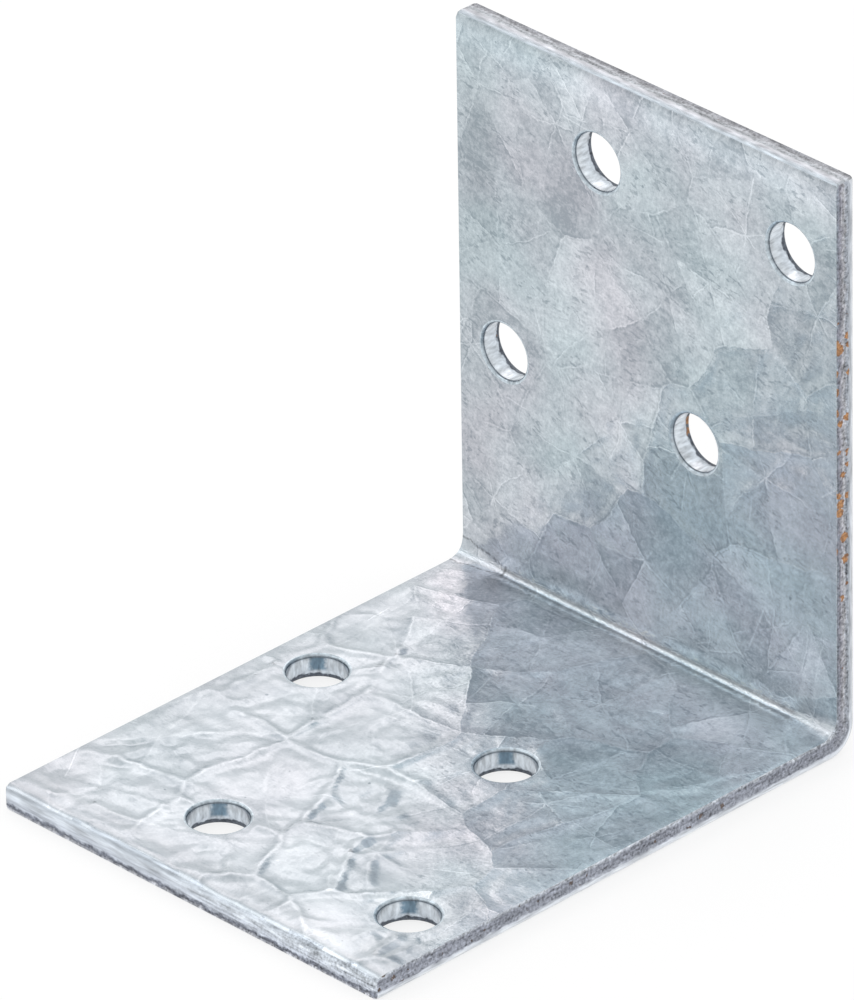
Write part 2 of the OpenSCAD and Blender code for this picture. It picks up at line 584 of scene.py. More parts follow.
def crystals(tree, place):
    """The crystals at a place: the ragged place, chances of the crystal and of the sector, and
    the border, the arm and the feathers."""
    wide = add(tree, "TexNoise", place, 0.12, 1.0, **IN_PLANE)
    soft = add(tree, "VectorMath", wide.outputs["Color"], (2.4, 2.4, 0), place,
               operation="MULTIPLY_ADD")
    fine = add(tree, "TexNoise", place, 1.1, 3.0, 0.65, **IN_PLANE)
    ragged = add(tree, "VectorMath", fine.outputs["Color"], (0.5, 0.5, 0), soft,
                 operation="MULTIPLY_ADD")
    cell = add(tree, "TexVoronoi", ragged, 1 / SPANGLE, voronoi_dimensions="2D")
    edge = add(tree, "TexVoronoi", ragged, 1 / SPANGLE,
               voronoi_dimensions="2D", feature="DISTANCE_TO_EDGE")
    border = add(tree, "Math", edge, SPANGLE, operation="MULTIPLY")
    crystal = add(tree, "SeparateXYZ", cell.outputs["Color"]).outputs

    reach = add(tree, "VectorMath", ragged, cell.outputs["Position"], operation="SUBTRACT")
    radius = add(tree, "VectorMath", reach, operation="LENGTH")
    side_x, side_y = add(tree, "SeparateXYZ", reach).outputs[:2]
    angle = add(tree, "Math", side_y, side_x, operation="ARCTAN2")
    spin = add(tree, "Math", crystal[1], float(ARMS), operation="MULTIPLY")
    turn = add(tree, "Math", angle, ARMS / (2 * math.pi), spin, operation="MULTIPLY_ADD")
    to_arm = add(tree, "Math", turn, 0.5, -0.5, operation="WRAP")
    to_arm = add(tree, "Math", to_arm, 2 * math.pi / ARMS, operation="MULTIPLY")
    arm = add(tree, "Math", to_arm, radius, operation="MULTIPLY")

    which = add(tree, "Math", turn, operation="FLOOR")
    which = add(tree, "Math", which, float(ARMS), 0.0, operation="WRAP")
    label = add(tree, "CombineXYZ", which, crystal[0])
    chance = add(tree, "TexWhiteNoise", label).outputs["Color"]
    sector = add(tree, "SeparateXYZ", chance).outputs
    middle = add(tree, "Math", turn, operation="FRACT")
    middle = add(tree, "Math", middle, 2 * math.pi / ARMS, -math.pi / ARMS, operation="MULTIPLY_ADD")
    comb = add(tree, "CombineXYZ", add(tree, "Math", middle, operation="COSINE"),
               add(tree, "Math", middle, operation="SINE"))
    comb = add(tree, "VectorMath", comb, radius, operation="SCALE")
    comb = add(tree, "VectorMath", comb, (0.6, 3.0, 0), chance, operation="MULTIPLY_ADD")
    feather = add(tree, "TexNoise", comb, 1.0, 2.0, 0.6, noise_dimensions="3D")
    return ragged, crystal, sector, border, arm, feather


# %% [markdown]
# ## Raise the relief
# Masks say where the mesh may move: the zinc swells and crumples on the flat faces, and the
# torn part of every sheared wall is uneven. The zinc crumpled most in one corner of the flat
# leg and lies calm on the rest. On the outer faces and on the walls the metal only ever sinks
# in, so the bracket keeps its size. The modifier is applied at once, so that the relief is real
# in the finished mesh.

# %% Masks for the relief
SINK = 0.08
FAR_AWAY = 99.0
FOLD_ARC = math.pi / 2 * (fold_r + sheet_t / 2)


def ramped(values, start, end):
    """0 before the start and 1 after the end."""
    return np.clip((values - start) / (end - start), 0, 1)


def to_hole(across, from_fold, on_upright):
    """How far each place is from the middle of the nearest hole: across and away from the fold."""
    nearest = np.full((len(across), 2), FAR_AWAY)
    for on_leg, holes in ((~on_upright, base_holes), (on_upright, upright_holes)):
        for x, distance in holes:
            here = np.stack([across - x, from_fold - distance], axis=1)
            closer = on_leg & (np.hypot(*here.T) < np.hypot(*nearest.T))
            nearest[closer] = here[closer]
    return nearest


def masks(piece):
    """How much each vertex takes part in the zinc's relief and in the torn walls."""
    across, along, depth = strip_places(places_of(piece)).T
    on_upright = along > FOLD_ARC / 2
    from_fold = np.where(on_upright, along - FOLD_ARC, -along)
    from_tip = np.where(on_upright, upright_flat, base_flat) - from_fold
    from_hole = np.hypot(*to_hole(across, from_fold, on_upright).T)
    flat = ramped(half_w - np.abs(across), 0.1, 1.0) * ramped(from_tip, 0.3, 1.6)
    flat *= ramped(from_hole, hole_rings[0][0], hole_rings[0][0] + 0.6) * ramped(from_fold, 0.0, 1.0)
    slit = (np.abs(across) > half_w - CLOSE) & (depth > CLOSE) & (depth < 1.15)
    cropped = (from_tip < CLOSE) & (depth > 1.35) & (depth < sheet_t - CLOSE)
    punched = (from_hole < hole_rings[-1][0] + CLOSE) & (depth > 1.5) & (depth < sheet_t - CLOSE)
    return {"flat": flat, "torn": (slit | cropped | punched) * 1.0, "sink": (depth > sheet_t / 2) * SINK}


def dark_reflection_side(piece):
    """1 at the side of a hole towards -X and the fold, where the wall is painted dark, and -1 at the other
    side.
    """
    across, along = strip_places(places_of(piece)).T[:2]
    on_upright = along > FOLD_ARC / 2
    x, away = to_hole(across, np.where(on_upright, along - FOLD_ARC, -along), on_upright).T
    return -(x + away) / (math.sqrt(2) * np.hypot(x, away))


bracket.data.attributes.new("close_die", "FLOAT", "POINT").data.foreach_set("value", dark_reflection_side(bracket))
for name, values in masks(bracket).items():
    bracket.data.attributes.new(name, "FLOAT", "POINT").data.foreach_set("value", values)


# %% Geometry Nodes for the relief
SHARP_ANGLE = 40


def zinc_relief():
    """Geometry Nodes that move each vertex along its normal by the height of the zinc."""
    tree = bpy.data.node_groups.new("zinc relief", "GeometryNodeTree")
    tree.interface.new_socket("Geometry", in_out="INPUT", socket_type="NodeSocketGeometry")
    tree.interface.new_socket("Geometry", in_out="OUTPUT", socket_type="NodeSocketGeometry")
    named_value = "GeometryNodeInputNamedAttribute"
    flat, torn, sink = [add(tree, named_value, name) for name in ("flat", "torn", "sink")]
    place, solid, (x, y, z) = place_on_strip(tree)
    ragged, crystal, sector, border, arm, feather = crystals(tree, place)
    swelling = add(tree, "MapRange", border, 0.0, 0.8, 1.0, 0.0, **SOFT_ENDS)
    beside = add(tree, "Math", arm, operation="ABSOLUTE")
    ridge = add(tree, "MapRange", beside, 0.0, 0.7, 1.0, 0.0, **SOFT_ENDS)
    patchy = add(tree, "TexNoise", ragged, 0.18, 1.0, **IN_PLANE)
    shown = add(tree, "MapRange", patchy, 0.48, 0.58, **SOFT_ENDS)
    ridge = add(tree, "Math", ridge, shown, operation="MULTIPLY")
    inside = add(tree, "Math", border, beside, operation="MINIMUM")
    petal = add(tree, "MapRange", inside, 0.0, 2.0, **SOFT_ENDS)
    puffed = add(tree, "Math", sector[1], 0.22, -0.10, operation="MULTIPLY_ADD")
    petal = add(tree, "Math", petal, puffed, operation="MULTIPLY")
    crumple = add(tree, "TexNoise", ragged, 0.33, 3.0, 0.5, **IN_PLANE)
    crumple = add(tree, "Math", crumple, 0.5, operation="SUBTRACT")
    crumple = add(tree, "Math", crumple, operation="ABSOLUTE")
    share = add(tree, "MapRange", sector[0], 0.2, 0.9, 0.1, 1.0, **SOFT_ENDS)
    crumple = add(tree, "Math", crumple, share, operation="MULTIPLY")
    wave = add(tree, "TexNoise", place, 0.14, 1.0, **IN_PLANE)
    height = weighted(tree, -0.16, [
        (swelling, 0.16), (ridge, 0.11), (petal, 1.3), (crumple, -0.9), (wave, 0.40)])
    half_outside = add(tree, "MapRange", sink, 0.0, SINK, 1.0, 0.5)
    for share in (calm_share(tree, x, y, 1.0, 0.40), half_outside):
        height = add(tree, "Math", height, share, operation="MULTIPLY")
    height = add(tree, "Math", height, sink, operation="SUBTRACT")
    rough = add(tree, "TexNoise", solid, 1.4, 1.0, noise_dimensions="3D")
    fall = add(tree, "Math", rough, torn, operation="MULTIPLY")
    fall = add(tree, "Math", fall, -0.12, operation="MULTIPLY")
    outer = add(tree, "Math", sink, 0.0, operation="GREATER_THAN")
    ceiling = add(tree, "Math", outer, -1.0, 1.0, operation="MULTIPLY_ADD")
    height = add(tree, "Math", height, ceiling, operation="MINIMUM")
    rise = add(tree, "Math", height, flat, fall, operation="MULTIPLY_ADD")
    rise = add(tree, "Math", rise, MM, operation="MULTIPLY")
    normal = add(tree, "GeometryNodeInputNormal")
    offset = add(tree, "VectorMath", normal, rise, operation="SCALE")
    entry = add(tree, "NodeGroupInput")
    shaped = add(tree, "GeometryNodeSetPosition", named={"Geometry": entry, "Offset": offset})
    add(tree, "NodeGroupOutput", shaped)
    return tree


before = places_of(bracket)
relief = bracket.modifiers.new("zinc relief", "NODES")
relief.node_group = zinc_relief()
applied(bracket, relief)
lift = np.linalg.norm(places_of(bracket) - before, axis=1)
print(f"the relief moves the metal by up to {lift.max():.3f} mm, {lift.mean():.3f} mm on average")
bpy.ops.object.shade_smooth_by_angle(angle=math.radians(SHARP_ANGLE))

# %% [markdown]
# ## Galvanised steel
# Zinc is a bluish-white metal. Freshly frozen it is bright and satin, with a slight teal or
# mauve cast from its thin skin of oxide. The material starts from metallic 1 and a roughness
# near 0.3. The crystals give the tones, rolling drew fine strokes over them, and handling left
# pits and scratches. Painted highlights and painted shade are drawn as well: along the arms and
# borders of the crystals, and in pale and dark bands across the fold, partly over the punch's
# marks. Near the tips the zinc has pale and dark bands. The bands are drawn by their distance
# from the fold and the tip.

# %% Pits and scratches
def scratches(tree, place):
    """Short scratches in all directions, one at most in each patch of 7 mm."""
    cell = add(tree, "TexVoronoi", place, 1 / 7, voronoi_dimensions="2D")
    chance = add(tree, "SeparateXYZ", cell.outputs["Color"]).outputs
    reach = add(tree, "VectorMath", place, cell.outputs["Position"], operation="SUBTRACT")
    lean = add(tree, "Math", chance[0], math.pi, operation="MULTIPLY")
    reach = add(tree, "VectorRotate", reach, named={"Angle": lean}, rotation_type="Z_AXIS")
    side_x, side_y = add(tree, "SeparateXYZ", reach).outputs[:2]
    long = add(tree, "Math", side_x, operation="ABSOLUTE")
    long = add(tree, "Math", chance[1], 2.6, long, operation="MULTIPLY_ADD")
    long = add(tree, "MapRange", long, 2.2, 2.6, 1.0, 0.0, **SOFT_ENDS)
    thin = add(tree, "Math", side_y, operation="ABSOLUTE")
    thin = add(tree, "MapRange", thin, 0.03, 0.09, 1.0, 0.0, **SOFT_ENDS)
    shown = add(tree, "Math", chance[2], 0.55, operation="GREATER_THAN")
    shown = add(tree, "Math", shown, thin, operation="MULTIPLY")
    return add(tree, "Math", shown, long, operation="MULTIPLY")


def pits(tree, place):
    """Dark pinholes of up to 0.3 mm, far apart."""
    cell = add(tree, "TexVoronoi", place, 1 / 5, voronoi_dimensions="2D")
    chance = add(tree, "SeparateXYZ", cell.outputs["Color"]).outputs
    size = add(tree, "MapRange", chance[0], 0.75, 1.0, 0.0, 0.15 / 5)
    return add(tree, "Math", cell.outputs["Distance"], size, operation="LESS_THAN")


# %% Tool marks and painted shading of the fold
# Each stop is a place in millimetres and the grey that the zinc is multiplied by. Through the fold
# the bands run from a dull run-up into a groove, a bright crest and a pale upper band: painted
# shade and painted highlights of the crease, laid over the marks that the punch left.
PLAIN = "#D0D0D0"
FOLD_SHADING_AND_MARKS = [
    (-3.5, PLAIN), (-1.6, "#B8B8B8"), (-0.9, "#A3A3A3"), (-0.65, "#A8A8A8"), (-0.45, "#C6C6C6"),
    (-0.1, "#888888"), (0.1, "#8E8E8E"), (0.6, "#E2E2E2"), (1.05, "#B6B6B6"), (1.6, "#969696"),
    (1.9, "#BCBCBC"), (2.4, "#FFFFFF"), (3.0, "#EAEAEA"), (3.6, "#D4D4D4"), (5.0, PLAIN)]
BASE_TIP_MARKS = [
    (0.0, "#CACACA"), (0.4, "#D2D2D2"), (0.8, "#C6C6C6"), (1.2, "#D2D2D2"), (2.2, "#C8C8C8"), (4.0, PLAIN)]
UPRIGHT_TIP_MARKS = [
    (0.0, "#A6A6A6"), (0.25, "#B6B6B6"), (0.45, "#D4D4D4"), (1.2, "#E5E5E5"), (2.0, "#E6E6E6"),
    (3.0, "#D9D9D9"), (6.0, PLAIN)]


def marks_and_crease_shading(tree, x, y, z):
    """How much lighter or darker the zinc of the inner face is drawn near the fold and the tips. In
    the fold this paints the crease's highlights and shade, and a painted dark line runs along the
    flares' edges. 1 is unchanged.
    """
    half = FOLD_ARC / 2
    ripple = add(tree, "TexNoise", x, 1.2, 2.0, 0.7, noise_dimensions="1D")
    ripple = add(tree, "Math", ripple, 0.5, operation="SUBTRACT")
    beyond = add(tree, "Math", x, operation="ABSOLUTE")
    beyond = add(tree, "Math", beyond, half_w - flare_len, operation="SUBTRACT")
    wider = add(tree, "Math", beyond, 0.0, operation="MAXIMUM")
    wider = add(tree, "Math", wider, (flare_r - fold_r) / flare_len, half, operation="MULTIPLY_ADD")
    from_middle = add(tree, "Math", y, half, operation="SUBTRACT")
    side = add(tree, "Math", from_middle, operation="SIGN")
    from_middle = add(tree, "Math", from_middle, operation="ABSOLUTE")
    in_flare = add(tree, "Math", from_middle, wider, operation="DIVIDE")
    in_flare = add(tree, "Math", in_flare, half, operation="MULTIPLY")
    past_it = add(tree, "Math", from_middle, wider, operation="SUBTRACT")
    moved = add(tree, "Math", past_it, half, operation="ADD")
    moved = add(tree, "Math", moved, in_flare, operation="MAXIMUM")
    moved = add(tree, "Math", moved, side, half, operation="MULTIPLY_ADD")
    ragged = add(tree, "TexNoise", add(tree, "CombineXYZ", x, y), 2.4, 2.0, 0.7, **IN_PLANE)
    along = weighted(tree, moved, [(ripple, 0.2), (ragged, 0.5)])
    along = add(tree, "Math", along, 0.25, operation="SUBTRACT")
    along = add(tree, "Math", along, 0.1, 0.4, operation="MULTIPLY_ADD")
    fold = add(tree, "ValToRGB", along, stops=[(0.4 + at / 10, grey) for at, grey in FOLD_SHADING_AND_MARKS])
    opened = add(tree, "MapRange", beyond, 0.0, 1.0)
    fold = add(tree, "Mix", opened, fold, linear("#CACACA"), data_type="RGBA")
    fold = fold.outputs[2]
    from_base_tip = add(tree, "Math", y, base_flat, operation="ADD")
    from_upright_tip = add(tree, "Math", FOLD_ARC + upright_flat, y, operation="SUBTRACT")
    for distance, marks in ((from_base_tip, BASE_TIP_MARKS), (from_upright_tip, UPRIGHT_TIP_MARKS)):
        distance = add(tree, "Math", distance, 0.1, operation="MULTIPLY")
        tip = add(tree, "ValToRGB", distance, stops=[(at / 10, grey) for at, grey in marks])
        fold = add(tree, "Math", fold, tip, operation="MULTIPLY")
    # A dark line along the edge of each flare and across its start, stronger at the left: painted shade of
    # the flare's crease.
    edge = add(tree, "Math", ripple, 0.5, past_it, operation="MULTIPLY_ADD")
    edge = add(tree, "Math", edge, operation="ABSOLUTE")
    edge = add(tree, "MapRange", edge, 0.04, 0.14, 1.0, 0.0)
    dotted = add(tree, "TexNoise", x, 2.2, 2.0, noise_dimensions="1D")
    dotted = add(tree, "MapRange", dotted, 0.38, 0.55, 0.25, 1.0)
    stop = add(tree, "Math", beyond, operation="ABSOLUTE")
    stop = add(tree, "MapRange", stop, 0.04, 0.18, 1.0, 0.0)
    near = add(tree, "Math", past_it, 0.1, operation="LESS_THAN")
    stop = add(tree, "Math", stop, near, operation="MULTIPLY")
    for share in (opened, dotted):
        edge = add(tree, "Math", edge, share, operation="MULTIPLY")
    painted_line_shading = add(tree, "Math", edge, stop, operation="MAXIMUM")
    left = add(tree, "MapRange", x, 0.0, 1.0, -0.5, -0.08)
    painted_line_shading = add(tree, "Math", painted_line_shading, left, 1.0, operation="MULTIPLY_ADD")
    marks = add(tree, "Math", fold, painted_line_shading, operation="MULTIPLY")
    marks = add(tree, "Math", marks, 1 / linear(PLAIN)[0] ** 3, -1.0, operation="MULTIPLY_ADD")
    inner = add(tree, "Math", z, sheet_t / 2, operation="LESS_THAN")
    return add(tree, "Math", marks, inner, 1.0, operation="MULTIPLY_ADD")


# %% Tone, hue and fine relief of the zinc
def zinc_pattern(tree, place, x, y):
    """Tone and fine relief of the zinc. The tone holds painted highlights on the arms and borders of
    the crystals, with painted shade beside them. Strokes are drawn 0.3 mm wide, coarser than real,
    to show.
    """
    crystal, sector, border, arm, feather = crystals(tree, place)[1:]
    # Scale for each millimetre, detail and roughness
    noises = ((0.13, 2.0), (0.3, 2.0), (0.35, 1.0), (1.5, 3.0, 0.7), (4.5, 1.0, 0.7))
    cloud, patchy, cluster, mottle, grain = [
        add(tree, "TexNoise", place, *numbers, **IN_PLANE) for numbers in noises]
    shown = add(tree, "MapRange", patchy, 0.42, 0.58, **SOFT_ENDS)
    on_upright = add(tree, "MapRange", y, 2.0, 12.0)
    lean = add(tree, "Math", crystal[2], on_upright, operation="MULTIPLY")
    lean = add(tree, "Math", lean, 0.45, 0.06, operation="MULTIPLY_ADD")
    drawn = add(tree, "VectorRotate", place, named={"Angle": lean}, rotation_type="Z_AXIS")
    strong = calm_share(tree, x, y, 0.35, 1.0)
    narrow = add(tree, "VectorMath", drawn, (1.1, 2.8, 1), operation="MULTIPLY")
    stroke = add(tree, "TexNoise", narrow, 1.0, 2.0, 0.6, **IN_PLANE)
    dash = add(tree, "MapRange", stroke, 0.56, 0.66)
    for share in (add(tree, "MapRange", cluster, 0.48, 0.6), strong):
        dash = add(tree, "Math", dash, share, operation="MULTIPLY")
    rough_here = add(tree, "Math", sector[0], patchy, operation="ADD")
    rough_here = add(tree, "MapRange", rough_here, 0.75, 1.25, 0.25, 1.0)
    stroke = add(tree, "Math", stroke, 0.5, operation="SUBTRACT")
    stroke = add(tree, "Math", stroke, rough_here, operation="MULTIPLY")
    stroke = add(tree, "Math", stroke, strong, operation="MULTIPLY")
    broad = add(tree, "VectorMath", drawn, (0.4, 1.1, 1), operation="MULTIPLY")
    drag = add(tree, "TexNoise", broad, 1.0, 2.0, 0.6, **IN_PLANE)

    # Each arm gets a white crest with a dark side: a painted highlight and painted shade, as on a lit ridge.
    across_arm = add(tree, "Math", arm, calm_share(tree, x, y, 0.24, 0.5), 0.5,
                     operation="MULTIPLY_ADD")
    painted_line_shading = add(tree, "ValToRGB", across_arm,
               stops=[(0.36, "#BCBCBC"), (0.45, "#6C6C6C"), (0.5, "#FFFFFF"), (0.55, "#BCBCBC")])
    painted_line_shading = add(tree, "Math", painted_line_shading, 0.5, operation="SUBTRACT")
    for share in (shown, calm_share(tree, x, y, 0.32, 1.0)):
        painted_line_shading = add(tree, "Math", painted_line_shading, share, operation="MULTIPLY")
    # Where crystals meet, a light welt with a dark gully beside it: painted highlight and painted shade of
    # the swelling.
    from_border = add(tree, "Math", border, calm_share(tree, x, y, 0.5, 1.0), operation="MULTIPLY")
    welt = add(tree, "MapRange", from_border, 0.0, 0.16, 1.0, 0.0, **SOFT_ENDS)
    painted_gully_shade = add(tree, "MapRange", from_border, 0.1, 0.4, 1.0, 0.0, **SOFT_ENDS)
    painted_welt_shading = add(tree, "Math", painted_gully_shade, -0.6, welt, operation="MULTIPLY_ADD")
    painted_welt_shading = add(tree, "Math", painted_welt_shading, shown, operation="MULTIPLY")
    scratch = scratches(tree, place)
    # Each crystal and sector gets its own grey: partly its own tone, partly a painted reflection of a sector
    # tilted its own way.
    facet_tone_and_reflection = weighted(tree, -0.35, [(crystal[0], 0.24), (sector[2], 0.46)])
    clear = add(tree, "MapRange", patchy, 0.35, 0.65, 0.6, 1.1)
    for share in (calm_share(tree, x, y, 0.5, 1.0), clear):
        facet_tone_and_reflection = add(tree, "Math", facet_tone_and_reflection, share, operation="MULTIPLY")
    paler = add(tree, "MapRange", x, 7.0, 13.0, 0.0, 0.18)
    on_base = add(tree, "MapRange", y, -2.0, 2.0, 1.0, 0.0)
    paler = add(tree, "Math", paler, on_base, operation="MULTIPLY")
    fine = weighted(tree, -0.725, [(mottle, 0.95), (grain, 0.5)])
    fine = add(tree, "Math", fine, strong, operation="MULTIPLY")
    tone = weighted(tree, -0.07, [
        (feather, 0.35), (drag, 0.35), (cloud, 0.45), (paler, 1.0), (fine, 1.0), (facet_tone_and_reflection, 1.0),
        (stroke, 0.65), (dash, -0.5), (painted_line_shading, 0.75), (painted_welt_shading, 0.4), (scratch, 0.3),
        (pits(tree, place), -0.6)])
    height = weighted(tree, 0.0, [
        (welt, 0.008), (painted_line_shading, 0.007), (feather, 0.008), (stroke, 0.008), (drag, 0.010), (mottle, 0.010),
        (scratch, -0.004)])
    height = add(tree, "Math", height, strong, operation="MULTIPLY")
    return tone, height


# %% Galvanised steel
def new_metal(name):
    """A new material with a metallic shader."""
    material = bpy.data.materials.new(name)
    material.use_nodes = True
    shader = material.node_tree.nodes["Principled BSDF"]
    shader.inputs["Metallic"].default_value = 1.0
    return material, material.node_tree, shader


def galvanised_steel():
    """Hot-dip zinc on steel sheet, with spangle."""
    material, tree, shader = new_metal("hot-dip galvanised steel")
    place, solid, (x, y, z) = place_on_strip(tree)
    tone, height = zinc_pattern(tree, place, x, y)
    grey = add(tree, "ValToRGB", tone, stops=[(0.0, "#A0A8AE"), (1.0, "#E3E7EA")])
    hue = add(tree, "TexNoise", place, 0.09, 2.0, **IN_PLANE)
    hue = add(tree, "MapRange", hue, 0.3, 0.7)
    hue = add(tree, "Mix", calm_share(tree, x, y, 0.35, 1.0), 0.5, hue)
    cast = add(tree, "Mix", hue, linear("#F4FDFF"), linear("#FDFAFE"), data_type="RGBA")
    colour = add(tree, "Mix", 1.0, grey, cast, data_type="RGBA", blend_type="MULTIPLY")
    colour = add(tree, "VectorMath", colour, marks_and_crease_shading(tree, x, y, z), operation="SCALE")
    bump = add(tree, "Bump", named={"Height": height, "Distance": MM})
    shader.inputs["Roughness"].default_value = 0.27
    tree.links.new(colour.outputs[0], shader.inputs["Base Color"])
    tree.links.new(bump.outputs[0], shader.inputs["Normal"])
    return material


# %% [markdown]
# ## Sheared steel
# A shear or a punch leaves bands on the wall that it cuts. Where it enters, the zinc is dragged
# over the rolled edge. Then comes a smooth burnished band, and last the torn steel, which is
# bare, rough and darker, and rusts in small spots. One function makes this finish for the slit
# sides, the cropped tips and the punched holes, because only the heights of their bands and
# the run of their streaks differ.

# %% Finish of the sheared walls
def sheared_steel(name, bands, torn_from, streaks, spots, specks=1.9, worn=0.0, from_outer=False,
                  upright_bands=()):
    """Bands by the depth in millimetres from the side where the tool entered, and rust spots. Worn
    is how much the right end of the wall is scuffed."""
    material, tree, shader = new_metal(name)
    solid, (x, y, z) = place_on_strip(tree)[1:]
    depth = add(tree, "Math", sheet_t, z, operation="SUBTRACT") if from_outer else z
    run = add(tree, "VectorMath", solid, streaks, operation="MULTIPLY")
    streak = add(tree, "TexNoise", run, 1.0, 2.0, 0.6)
    streak = add(tree, "Math", streak, 0.5, operation="SUBTRACT")
    speck = add(tree, "TexNoise", solid, 4.0, 2.0, 0.7)
    speck = add(tree, "Math", speck, 0.5, operation="SUBTRACT")
    ragged = add(tree, "TexNoise", solid, 1.1, 2.0, 0.7)
    ragged = add(tree, "Math", ragged, 0.9, -0.45, operation="MULTIPLY_ADD")
    deep = add(tree, "MapRange", depth, 0.3, 1.0)
    torn_depth = add(tree, "Math", ragged, deep, depth, operation="MULTIPLY_ADD")
    torn = add(tree, "MapRange", torn_depth, torn_from - 0.05, torn_from + 0.05)
    share = add(tree, "Math", torn_depth, sheet_t, operation="DIVIDE")
    colour = add(tree, "ValToRGB", share, stops=[(at / sheet_t, grey) for at, grey in bands])
    on_upright = add(tree, "MapRange", y, 0.0, 5.0)
    if upright_bands:
        other = add(tree, "ValToRGB", share, stops=[(at / sheet_t, grey) for at, grey in upright_bands])
        colour = add(tree, "Mix", on_upright, colour, other, data_type="RGBA")
    torn_speck = add(tree, "Math", speck, torn, operation="MULTIPLY")
    scuff = add(tree, "MapRange", x, -5.0, 15.0, 0.0, worn)
    uneven = weighted(tree, 0.0, [(streak, 0.5), (speck, 0.8)])
    scuff = add(tree, "Math", scuff, uneven, operation="MULTIPLY")
    light = weighted(tree, 1.0, [(streak, 1.5), (torn_speck, specks), (scuff, 1.0)])
    colour = add(tree, "VectorMath", colour, light, operation="SCALE")

    rust = add(tree, "TexVoronoi", solid, 1.1)
    chance = add(tree, "SeparateXYZ", rust.outputs["Color"])
    cluster = add(tree, "TexNoise", solid, 0.14, 1.0)
    near_tip = add(tree, "MapRange", y, 35.0, 39.0)
    from_fold = add(tree, "Math", y, operation="ABSOLUTE")
    near_heel = add(tree, "MapRange", from_fold, 6.0, 12.0, 1.0, 0.0)
    size = weighted(tree, chance, [(cluster, 1.6), (on_upright, 0.25), (near_tip, -0.6), (near_heel, -0.5)])
    largest = add(tree, "Math", on_upright, 0.2, 0.3, operation="MULTIPLY_ADD")
    size = add(tree, "MapRange", size, spots, spots + 0.5, 0.0, largest)
    near = weighted(tree, rust.outputs["Distance"], [(speck, 0.6)])
    rusty = add(tree, "Math", near, size, operation="LESS_THAN")
    rusty = add(tree, "Math", rusty, torn, operation="MULTIPLY")
    dark = add(tree, "MapRange", speck, -0.15, 0.15)
    old = add(tree, "Mix", dark, linear("#4C4240"), linear("#7A6A62"), data_type="RGBA")
    fresh = add(tree, "Mix", dark, linear("#7A563C"), linear("#C89260"), data_type="RGBA")
    rust_colour = add(tree, "Mix", on_upright, old, fresh, data_type="RGBA")
    colour = add(tree, "Mix", rusty, colour, rust_colour, data_type="RGBA")
    rough = add(tree, "Math", torn, 0.3, 0.28, operation="MULTIPLY_ADD")
    relief = weighted(tree, 0.0, [(torn_speck, 0.08), (streak, 0.012)])
    bump = add(tree, "Bump", named={"Height": relief, "Distance": MM})
    bare = add(tree, "Math", 1.0, rusty, operation="SUBTRACT")
    tree.links.new(colour.outputs[2], shader.inputs["Base Color"])
    tree.links.new(rough.outputs[0], shader.inputs["Roughness"])
    tree.links.new(bump.outputs[0], shader.inputs["Normal"])
    tree.links.new(bare.outputs[0], shader.inputs["Metallic"])
    return material


# The slit sides of the flat leg and of the upright get separate bands. The flat leg's torn band is painted
# darker than the upright's: painted shade from the floor beside it.
slit_side = sheared_steel(
    "slit steel",
    [(0.0, "#E6EAEE"), (0.5, "#DCE1E8"), (0.66, "#C8CDD6"), (0.75, "#A2A6B0"), (1.6, "#9B9FAA"),
     (1.97, "#D0D5DC")],
    0.75, (2.0, 0.45, 4.5), 1.35, specks=2.4, from_outer=True,
    upright_bands=[(0.0, "#E2E5E9"), (0.45, "#CBD0D6"), (0.65, "#ADB3BB"), (0.9, "#A8AEB7"), (1.2, "#BFC0C5"),
                   (1.6, "#9C9DA8"), (1.8, "#8E949F"), (1.97, "#9DA6B0")])
base_tip = sheared_steel(
    "cropped steel of the flat leg",
    [(0.0, "#A8B0B8"), (0.2, "#B8C0C9"), (0.6, "#D0D7DF"), (1.3, "#C8CFDA"), (1.5, "#9499A4"),
     (1.65, "#797D88"), (1.95, "#C8CAD0")],
    1.48, (0.4, 2.4, 3.2), 1.7, worn=2.4)
upright_tip = sheared_steel(
    "cropped steel of the upright leg",
    [(0.0, "#98A2A9"), (0.3, "#A6AEB5"), (0.5, "#C6CCD3"), (0.6, "#BEC3CA"), (0.95, "#AAAFB4"),
     (1.35, "#BDC0C5"), (1.65, "#9EA0A5"), (1.95, "#A0A2A8")],
    0.95, (0.6, 2.4, 2.4), 1.7, specks=1.7)
punched_hole = sheared_steel(
    "punched steel",
    [(0.0, "#C6D2DA"), (0.2, "#7A828A"), (0.3, "#D2D9DF"), (1.62, "#C6CFD8"), (1.75, "#606670"),
     (2.0, "#747A82")],
    1.74, (2.6, 2.6, 0.9), 1.5, specks=1.5)

# In the flat leg's holes the wall towards -X and the fold is painted dark steel-blue: a painted reflection of
# the shaded floor under the hole.
tree = punched_hole.node_tree
shader = tree.nodes["Principled BSDF"]
light_wall = shader.inputs["Base Color"].links[0].from_socket
dark_side = add(tree, "Attribute", attribute_name="close_die").outputs["Fac"]
solid, (x, y, z) = place_on_strip(tree)[1:]
uneven = add(tree, "TexNoise", solid, 3.0, 2.0, 0.7)
dark_side = weighted(tree, dark_side, [(uneven, 0.06)])
painted_dark_reflection = add(tree, "MapRange", dark_side, 0.97, 1.02, **SOFT_ENDS)
for number, start, end in ((z, 0.2, 0.3), (z, 1.5, 1.2), (y, 0.0, -1.0)):
    limit = add(tree, "MapRange", number, start, end)
    painted_dark_reflection = add(tree, "Math", painted_dark_reflection, limit, operation="MULTIPLY")
painted_dark_wall = add(tree, "Mix", 1.0, light_wall, linear("#93A8B6"), data_type="RGBA",
                blend_type="MULTIPLY")
wall = add(tree, "Mix", painted_dark_reflection, light_wall, painted_dark_wall, data_type="RGBA")
